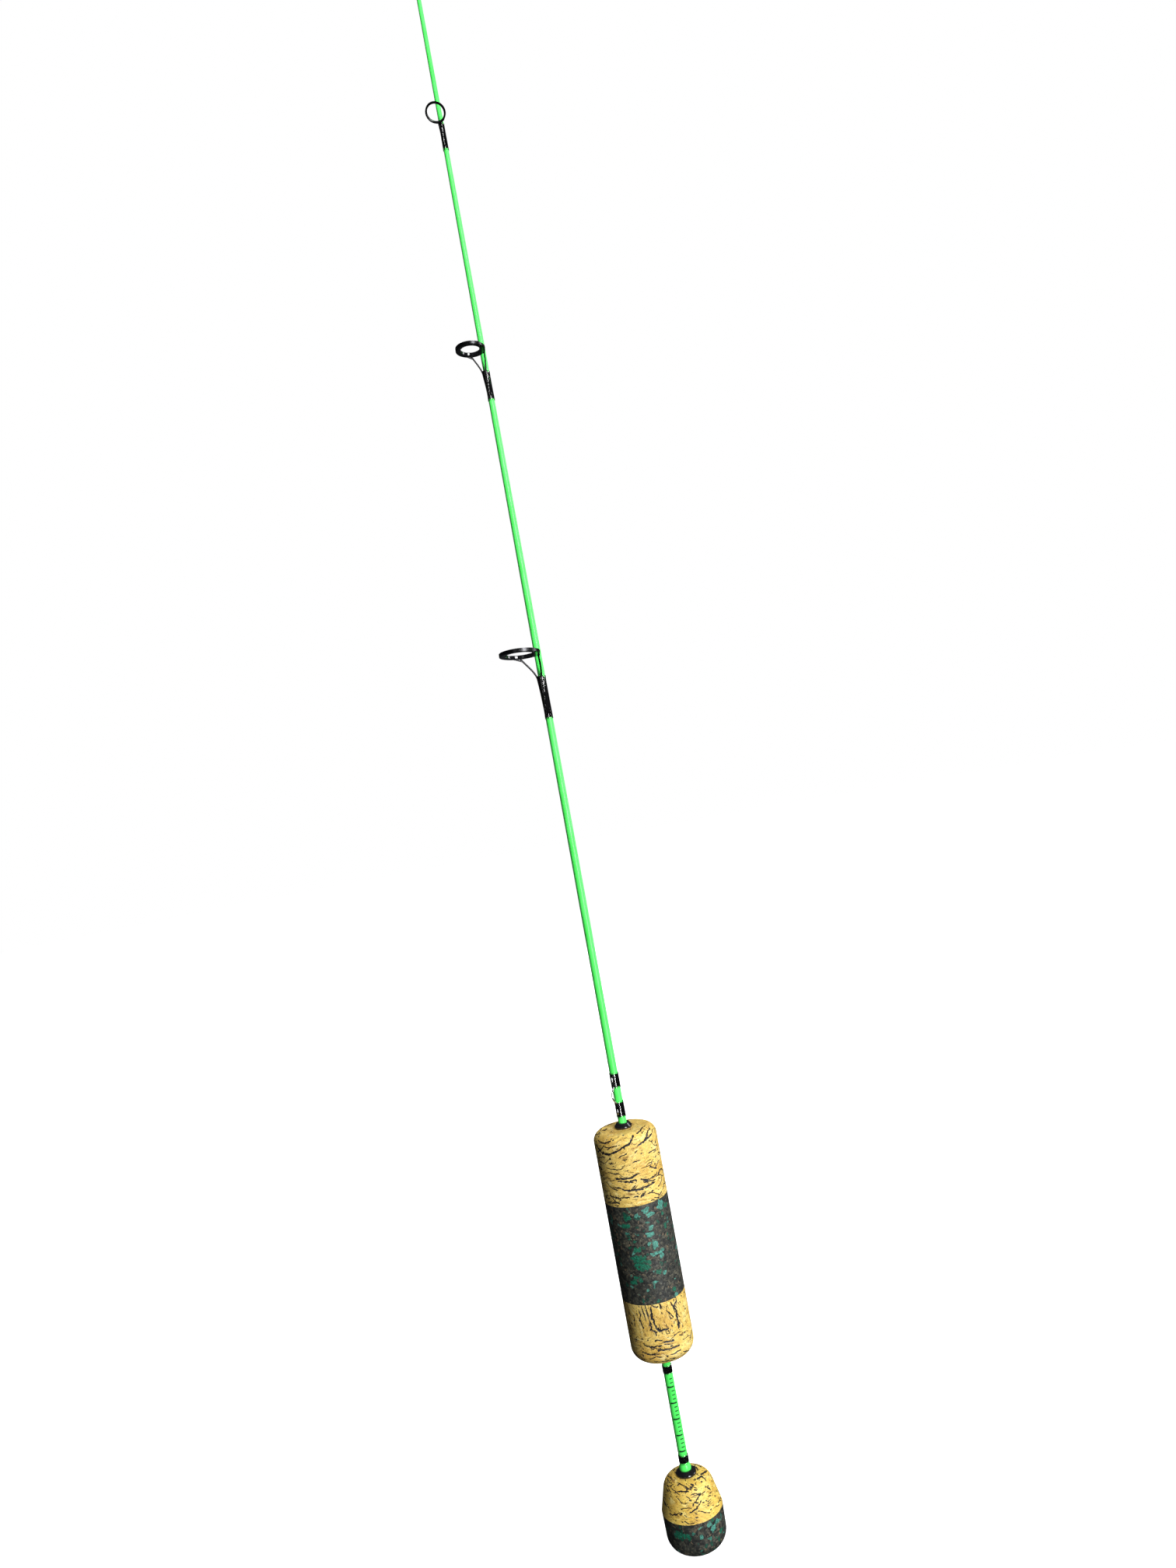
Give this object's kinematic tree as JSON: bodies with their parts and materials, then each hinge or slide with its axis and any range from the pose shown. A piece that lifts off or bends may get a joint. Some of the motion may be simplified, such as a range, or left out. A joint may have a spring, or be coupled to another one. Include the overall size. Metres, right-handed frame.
{
  "type": "ice fishing rod",
  "caption": "One-piece ice fishing rod: slim tapered neon blank, split cork and rubber-cork grip, wire hook keeper, single-foot ring guides and a tip-top.",
  "frame": {"origin": "centre of the flat butt face, on the blank's axis", "axes": "+Z along the blank from butt to tip; guides and hook keeper towards -Y; +X to the right when the guides face the viewer"},
  "size_m": [0.025, 0.0336, 0.8128],
  "materials": {
    "blank_paint": "neon green gloss paint over a solid carbon blank",
    "cork": "burl cork, sanded and lightly sealed",
    "rubber_cork": "rubberised cork with green chips, sanded",
    "tape": "plain masking tape",
    "glue": "cured rod-building epoxy",
    "check_plastic": "black gloss moulded plastic",
    "thread": "black nylon winding thread",
    "clear_coat": "clear high-build epoxy",
    "keeper_wire": "bright stainless wire",
    "guide_metal": "polished gunmetal plated stainless steel",
    "ring_ceramic": "polished black ceramic"
  },
  "bodies": {
    "root": {"blank": "blank_paint", "butt_cork_ring": "cork", "front_low_cork_ring_1": "cork", "front_low_cork_ring_2": "cork", "front_high_cork_ring_1": "cork", "front_high_cork_ring_2": "cork", "butt_rubber_cork_end": "rubber_cork", "front_rubber_cork_ring_1": "rubber_cork", "front_rubber_cork_ring_2": "rubber_cork", "front_rubber_cork_ring_3": "rubber_cork", "front_tape_arbor_1": "tape", "front_tape_arbor_2": "tape", "front_tape_arbor_3": "tape", "butt_tape_arbor": "tape", "front_grip_epoxy": "glue", "butt_grip_epoxy": "glue", "butt_winding_check": "check_plastic", "front_winding_check": "check_plastic", "low_trim_thread": "thread", "high_trim_thread": "thread", "keeper_low_thread": "thread", "keeper_high_thread": "thread", "guide_1_thread": "thread", "guide_2_thread": "thread", "guide_3_thread": "thread", "guide_4_thread": "thread", "guide_5_thread": "thread", "guide_6_thread": "thread", "low_trim_coat": "clear_coat", "high_trim_coat": "clear_coat", "keeper_low_coat": "clear_coat", "keeper_high_coat": "clear_coat", "guide_1_coat": "clear_coat", "guide_2_coat": "clear_coat", "guide_3_coat": "clear_coat", "guide_4_coat": "clear_coat", "guide_5_coat": "clear_coat", "guide_6_coat": "clear_coat", "hook_keeper": "keeper_wire", "guide_1_frame": "guide_metal", "guide_2_frame": "guide_metal", "guide_3_frame": "guide_metal", "guide_4_frame": "guide_metal", "guide_5_frame": "guide_metal", "guide_6_frame": "guide_metal", "tip_top_frame": "guide_metal", "tip_top_tube": "guide_metal", "guide_1_ring": "ring_ceramic", "guide_2_ring": "ring_ceramic", "guide_3_ring": "ring_ceramic", "guide_4_ring": "ring_ceramic", "guide_5_ring": "ring_ceramic", "guide_6_ring": "ring_ceramic", "tip_top_ring": "ring_ceramic"}
  },
  "joints": []
}
